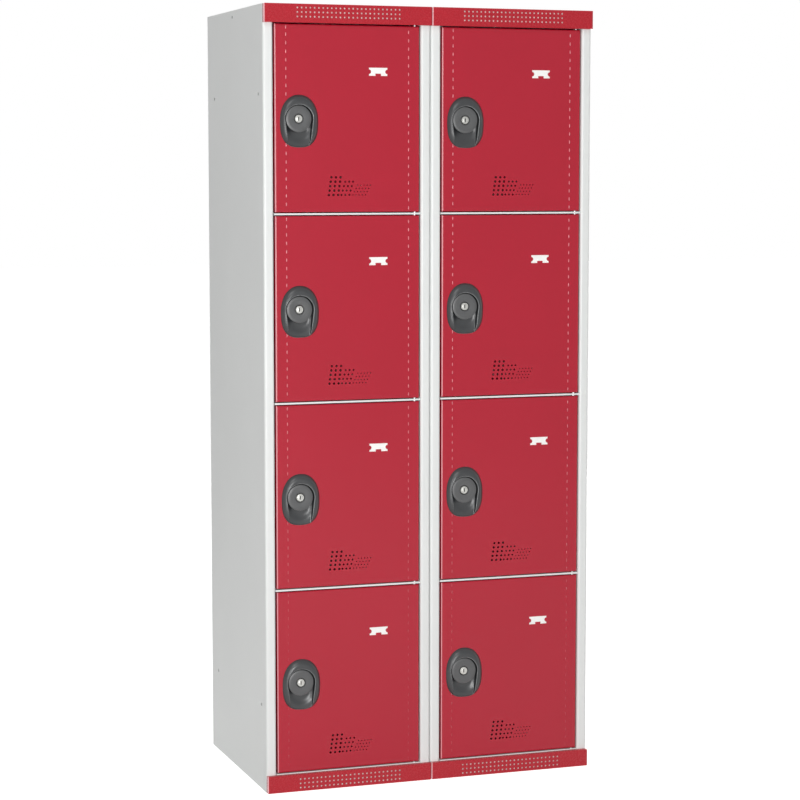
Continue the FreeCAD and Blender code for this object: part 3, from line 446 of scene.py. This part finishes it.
def roundedBlock(bm, size, centre, bevel, segments=2):
    made = bmesh.ops.create_cube(bm, size=1.0)["verts"]
    bmesh.ops.scale(bm, vec=Vector(size) * mm, verts=made)
    bmesh.ops.translate(bm, vec=Vector(centre) * mm, verts=made)
    edges = list({e for v in made for e in v.link_edges})
    bmesh.ops.bevel(bm, geom=edges, offset=bevel * mm, affect="EDGES", segments=segments, profile=0.5,
                    material=-1)


def buildPlate(p):
    bm = bmesh.new()
    lathe(bm, p["profile"], p["sides"])
    size = (p["indexAcross"], 2 * p["indexProud"], p["indexUp"])
    roundedBlock(bm, size, (0, -p["face"], p["indexOut"]), p["indexBevel"])
    return bm


# Key cylinder with its keyway, spindle, stud, cam and nut, on the lock axis.
barrel = {
    "sides": 48, "radius": 9.0, "face": 7.5, "chamfer": 0.7, "plug": 6.1, "groove": 0.35,
    "slotWidth": 2.2, "slotHeight": 8.4, "slotDepth": 5.5,
    "plugRim": 0.5, "plugRound": 0.2, "plugDip": 0.1, "grooveWidth": 0.3, "grooveRim": 0.5,
    "housingBack": -7.0, "spindle": 7.0, "stud": 4.0, "studChamfer": 0.6,
    "camFront": -25.5, "camThick": 2.5, "camWidth": 16.0, "camLength": 64.0, "camSides": 32,
    "camBevel": 0.4, "camRimOut": 4.5, "capCorners": 20,
    "nutFlats": 13.0, "nutHigh": 4.0, "nutCrown": 0.8, "nutBevel": 0.7, "near": 0.01, "tiny": 1e-6,
}


def buildBarrel(b):
    bm = bmesh.new()
    turns = [2 * math.pi * i / b["sides"] for i in range(b["sides"])]

    def ring(reach, depth):
        return lambda i: Vector((reach * math.cos(turns[i]), -depth, reach * math.sin(turns[i]))) * mm

    def slot(depth):
        # the same number of points round the keyway's outline
        def spot(i):
            across, up = math.cos(turns[i]), math.sin(turns[i])
            reach = min(b["slotWidth"] / 2 / max(abs(across), b["tiny"]),
                        b["slotHeight"] / 2 / max(abs(up), b["tiny"]))
            return Vector((reach * across, -depth, reach * up)) * mm
        return spot

    face, plug, stud = b["face"], b["plug"], b["stud"]
    camBack = b["camFront"] - b["camThick"]
    studEnd = camBack - b["nutHigh"]
    loop = firstLoop(bm, b["sides"], slot(face - b["slotDepth"]))
    bmesh.ops.contextual_create(bm, geom=loop)
    loop = nextLoop(bm, loop, slot(face))
    dark = list(bm.faces)
    for reach, depth in ((plug - b["plugRim"], face), (plug - b["plugRound"], face - b["plugDip"]),
                         (plug, face - b["groove"]), (plug + b["grooveWidth"], face - b["groove"]),
                         (plug + b["grooveRim"], face),
                         (b["radius"] - b["chamfer"], face), (b["radius"], face - b["chamfer"]),
                         (b["radius"], b["housingBack"]), (b["spindle"], b["housingBack"]),
                         (b["spindle"], b["camFront"]), (stud, b["camFront"]),
                         (stud, studEnd + b["studChamfer"]), (stud - b["studChamfer"], studEnd)):
        loop = nextLoop(bm, loop, ring(reach, depth))
    bmesh.ops.contextual_create(bm, geom=loop)
    for f in dark:
        f.material_index = 2
    # cam: a strip with round ends that hangs from the stud
    cam = bmesh.ops.create_circle(bm, cap_ends=True, segments=b["camSides"], radius=b["camWidth"] / 2 * mm,
                                  matrix=Matrix.Rotation(math.pi / 2, 4, "X"))["verts"]
    for v in cam:
        v.co.y = -b["camFront"] * mm
        if v.co.z < -b["tiny"]:
            v.co.z -= (b["camLength"] - b["camWidth"] / 2) * mm
    strip = [f for f in bm.faces if all(v in cam for v in f.verts)]
    made = bmesh.ops.extrude_face_region(bm, geom=strip)["geom"]
    bmesh.ops.translate(bm, vec=(0, b["camThick"] * mm, 0),
                        verts=[g for g in made if isinstance(g, bmesh.types.BMVert)])

    def onRim(edge):
        behind = all(v.co.y * 1000 > -b["camFront"] - b["near"] for v in edge.verts)
        capped = any(len(f.verts) > b["capCorners"] for f in edge.link_faces)
        outside = max(abs(v.co.x) for v in edge.verts) > b["camRimOut"] * mm
        return len(edge.link_faces) == 2 and behind and capped and outside

    bmesh.ops.bevel(bm, geom=[e for e in bm.edges if onRim(e)], offset=b["camBevel"] * mm, affect="EDGES",
                    segments=2, profile=0.5, material=-1)
    # nut
    reach = b["nutFlats"] / math.sqrt(3) * mm
    nut = bmesh.ops.create_circle(bm, cap_ends=True, segments=6, radius=reach,
                                  matrix=Matrix.Rotation(math.pi / 2, 4, "X"))["verts"]
    bmesh.ops.translate(bm, vec=(0, -camBack * mm, 0), verts=nut)
    cap = [f for f in bm.faces if all(v in nut for v in f.verts)]
    made = bmesh.ops.extrude_face_region(bm, geom=cap)["geom"]
    top = [g for g in made if isinstance(g, bmesh.types.BMVert)]
    bmesh.ops.translate(bm, vec=(0, (b["nutHigh"] - b["nutCrown"]) * mm, 0), verts=top)
    edges = [e for e in bm.edges if all(v in top for v in e.verts)]
    bmesh.ops.bevel(bm, geom=edges, offset=b["nutBevel"] * mm, affect="EDGES", segments=2, profile=0.5,
                    material=-1)
    # cam, stud and nut are zinc plated
    for f in bm.faces:
        if min(v.co.y for v in f.verts) > -(b["camFront"] + b["near"]) * mm and f.material_index == 0:
            f.material_index = 1
    return bm


handleShape = buildHandle(handle)
plateShape = buildPlate(plate)
barrelShape = buildBarrel(barrel)
for door in doorNames:
    axis = jointSpots[f"lock_{door}_turn"]
    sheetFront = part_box(f"door_panel_{door}")[0].y
    spot = Vector((axis.x, sheetFront, axis.z))
    housing = handleShape.copy()
    bmesh.ops.translate(housing, vec=spot, verts=housing.verts)
    addPiece(f"lockHandle_{door}", housing, f"door_{door}",
             [handlePlastic, edgeHighlightPlastic], sharp=38, replaced=[f"lock_handle_{door}"])
    disc = plateShape.copy()
    bmesh.ops.translate(disc, vec=spot, verts=disc.verts)
    addPiece(f"lockPlate_{door}", disc, f"door_{door}", [discPlastic], sharp=30)
    cylinder = barrelShape.copy()
    bmesh.ops.translate(cylinder, vec=spot, verts=cylinder.verts)
    addPiece(f"lockCylinder_{door}", cylinder, f"lock_{door}",
             [nickelPlate, zincPlate, keywayMetal], sharp=30, replaced=[f"lock_barrel_{door}"])
print("locks:", len(doorNames))


# Pressed marks in two upright rows on each door, where the stiffeners are joined to the sheet.
marks = {"inset": 26.5, "pitch": 19.0, "rightFirst": 14.0, "leftFirst": 4.6, "halfWidth": 1.3,
         "halfHeight": 4.3, "proud": 0.8, "sunk": 0.1, "lockDrop": 5, "lockMargin": 52.0, "endMargin": 7.4}


def buildMarks(m, door):
    bm = bmesh.new()
    half = Vector((m["halfWidth"], m["proud"], m["halfHeight"])) * mm
    low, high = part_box(f"door_panel_{door}")
    lockUp = jointSpots[f"lock_{door}_turn"].z - m["lockDrop"] * mm
    for x, first, skipsLock in ((low.x + m["inset"] * mm, m["leftFirst"], True),
                                (high.x - m["inset"] * mm, m["rightFirst"], False)):
        z = high.z - first * mm
        while z > low.z + m["endMargin"] * mm:
            at = min(z, high.z - m["endMargin"] * mm)
            if not (skipsLock and abs(z - lockUp) < m["lockMargin"] * mm):
                dot = bmesh.ops.create_uvsphere(bm, u_segments=8, v_segments=6, radius=1.0)["verts"]
                bmesh.ops.scale(bm, vec=half, verts=dot)
                bmesh.ops.translate(bm, vec=(x, low.y, at), verts=dot)
            z -= m["pitch"] * mm
    bmesh.ops.bisect_plane(bm, geom=bm.verts[:] + bm.edges[:] + bm.faces[:],
                           plane_co=(0, low.y + m["sunk"] * mm, 0), plane_no=(0, 1, 0), clear_outer=True)
    bmesh.ops.holes_fill(bm, edges=[e for e in bm.edges if e.is_boundary])
    return bm


for door in doorNames:
    addPiece(f"pressedMarks_{door}", buildMarks(marks, door), f"door_{door}", [markCoat],
             sharp=60)
print("pressed marks:", len(doorNames), "doors")


# Spot welds where the back and the roof lie on the flanges: shallow round marks under the paint.
spots = {"radius": 3.0, "crownShare": 0.6, "proud": 0.18, "edge": 10.5, "pitch": 117.0, "ends": 42.0,
         "along": 79.0, "under": 14.0}


def buildSpots(c, column):
    bm = bmesh.new()

    def press(at, lay):
        made = bmesh.ops.create_cone(bm, cap_ends=True, segments=12, radius1=c["radius"] * mm,
                                     radius2=c["crownShare"] * c["radius"] * mm,
                                     depth=c["proud"] * mm)["verts"]
        bmesh.ops.transform(bm, matrix=Matrix.Translation(at) @ lay, verts=made)

    low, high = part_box(f"back_panel_{column}")
    lay = Matrix.Rotation(-math.pi / 2, 4, "X") @ Matrix.Translation((0, 0, c["proud"] / 2 * mm))
    z = low.z + c["ends"] * mm
    while z < high.z - c["ends"] * mm:
        for x in (low.x + c["edge"] * mm, high.x - c["edge"] * mm):
            press((x, high.y, z), lay)
        z += c["pitch"] * mm
    for tier in "123":
        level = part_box(f"door_panel_{column}{tier}")[0].z - c["under"] * mm
        x = low.x + c["along"] * mm
        while x < high.x - c["ends"] * mm:
            press((x, high.y, level), lay)
            x += c["along"] * mm
    low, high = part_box(f"roof_panel_{column}")
    lay = Matrix.Translation((0, 0, c["proud"] / 2 * mm))
    y = low.y + c["ends"] * mm
    while y < high.y - c["edge"] * mm:
        for x in (low.x + c["edge"] * mm, high.x - c["edge"] * mm):
            press((x, y, high.z), lay)
        y += c["along"] * mm
    return bm


for column in "ab":
    addPiece(f"weldSpots_{column}", buildSpots(spots, column), "carcass", [greyCoat],
             sharp=25)


# Small pressed dots in the outer side panels, behind the shelf ends.
dots = {"back": 410.0, "ups": (466.0, 894.0, 1326.0), "radius": 2.6, "proud": 0.3}


def buildDots(d):
    bm = bmesh.new()
    for x in (cadLow.x, cadHigh.x):
        for up in d["ups"]:
            dot = bmesh.ops.create_uvsphere(bm, u_segments=12, v_segments=8, radius=1.0)["verts"]
            bmesh.ops.scale(bm, vec=Vector((d["proud"], d["radius"], d["radius"])) * mm, verts=dot)
            bmesh.ops.translate(bm, vec=(x, cadLow.y + d["back"] * mm, up * mm), verts=dot)
    return bm


addPiece("sideDots", buildDots(dots), "carcass", [greyCoat], sharp=60)

# A dark plug near the top of each outer side panel, guessed from a small dark spot.
plugs = {"back": 270.0, "ups": (1785.0,), "radius": 3.4, "proud": 0.3}
addPiece("sidePlugs", buildDots(plugs), "carcass", [handlePlastic], sharp=60)
print("spot welds, dots and plugs done")


# Stage

# Camera, mirror and glass rays, which see a white background that doesn't light the object.
def seenDirectly(tree):
    rays = addNode(tree, "LightPath")
    glossy = addNode(tree, "Math", {"operation": "MAXIMUM"},
                     {0: rays.outputs["Is Camera Ray"], 1: rays.outputs["Is Glossy Ray"]})
    return addNode(tree, "Math", {"operation": "MAXIMUM"},
                   {0: glossy.outputs[0], 1: rays.outputs["Is Transmission Ray"]}).outputs[0]


# Floor half its side in metres and how far below the part in mm.
stage = {"floorHalf": 30.0, "floorDown": 0.4, "floorHex": "#D2D2D0", "shadowHex": "#E8E8E6",
         "floorGlow": 0.86, "ambient": 0.2}


def buildStage(s):
    bm = bmesh.new()
    bmesh.ops.create_grid(bm, x_segments=1, y_segments=1, size=s["floorHalf"])
    bmesh.ops.translate(bm, vec=(0, 0, -s["floorDown"] * mm), verts=bm.verts)
    mesh = bpy.data.meshes.new("studioFloor")
    bm.to_mesh(mesh)
    bm.free()
    floor = bpy.data.objects.new("studioFloor", mesh)
    bpy.context.scene.collection.objects.link(floor)
    material, tree = newMaterial("MattWhiteFloor")[:2]
    plain = addNode(tree, "BsdfDiffuse", {"Color": linear(s["floorHex"])})
    shaded = addNode(tree, "BsdfDiffuse", {"Color": linear(s["shadowHex"])})
    glow = addNode(tree, "Emission", {"Color": (1, 1, 1, 1), "Strength": s["floorGlow"]})
    both = addNode(tree, "AddShader", links={0: shaded.outputs[0], 1: glow.outputs[0]})
    mix = addNode(tree, "MixShader", links={0: seenDirectly(tree), 1: plain.outputs[0], 2: both.outputs[0]})
    closeMaterial(tree, mix)
    mesh.materials.append(material)
    world = bpy.data.worlds.new("studioWorld")
    bpy.context.scene.world = world
    world.use_nodes = True
    sky = world.node_tree
    sky.nodes.clear()
    soft = addNode(sky, "Background", {"Color": (1, 1, 1, 1), "Strength": s["ambient"]})
    white = addNode(sky, "Background", {"Color": (1, 1, 1, 1), "Strength": 1.0})
    shown = addNode(sky, "MixShader", links={0: seenDirectly(sky), 1: soft.outputs[0], 2: white.outputs[0]})
    addNode(sky, "OutputWorld", links={"Surface": shown.outputs[0]})


buildStage(stage)

# A strip from the left, a soft light from the front, and weaker ones above, behind and on the right.
lamps = {
    "keyStrip": {"at": (-2.9, -3.6, 1.2), "aim": (-0.1, -0.1, 1.0),
                 "wide": 0.6, "high": 2.4, "watts": 46},
    "frontSoft": {"at": (-1.1, -5.7, 1.1), "aim": (0.0, 0.0, 0.8),
                  "wide": 1.4, "high": 1.6, "watts": 132},
    "topSoft": {"at": (-1.9, -3.3, 4.1), "aim": (-0.1, 0.0, 0.7),
                "wide": 2.4, "high": 1.6, "watts": 44},
    "overSoft": {"at": (0.1, 0.8, 4.3), "aim": (0.0, 0.1, 1.8),
                 "wide": 2.6, "high": 1.8, "watts": 30},
    "rearSoft": {"at": (3.0, 4.8, 0.95), "aim": (0.0, 0.2, 0.9),
                 "wide": 2.0, "high": 1.6, "watts": 66},
    "rightSoft": {"at": (4.2, 0.3, 1.4), "aim": (0.2, 0.1, 0.9),
                  "wide": 1.8, "high": 2.2, "watts": 22},
}
for name, lamp in lamps.items():
    light = bpy.data.lights.new(name, "AREA")
    light.shape = "RECTANGLE"
    light.size = lamp["wide"]
    light.size_y = lamp["high"]
    light.energy = lamp["watts"]
    holder = bpy.data.objects.new(name, light)
    holder.location = lamp["at"]
    holder.rotation_euler = (Vector(lamp["aim"]) - Vector(lamp["at"])).to_track_quat("-Z", "Y").to_euler()
    bpy.context.scene.collection.objects.link(holder)

# Camera fitted to the photo: place in metres, turn and tilt in degrees.
view = {"at": (-1.8255, -5.2836, 1.4182), "turn": 19.140, "tilt": -5.543, "lens": 104.34}
camera = bpy.data.objects.new("photoCamera", bpy.data.cameras.new("photoCamera"))
camera.location = view["at"]
camera.rotation_euler = (math.radians(90 + view["tilt"]), 0, math.radians(-view["turn"]))
camera.data.sensor_width = 36.0
camera.data.lens = view["lens"]
bpy.context.scene.collection.objects.link(camera)
bpy.context.scene.camera = camera
bpy.context.scene.view_settings.view_transform = "Standard"
print("stage, lamps and camera set")
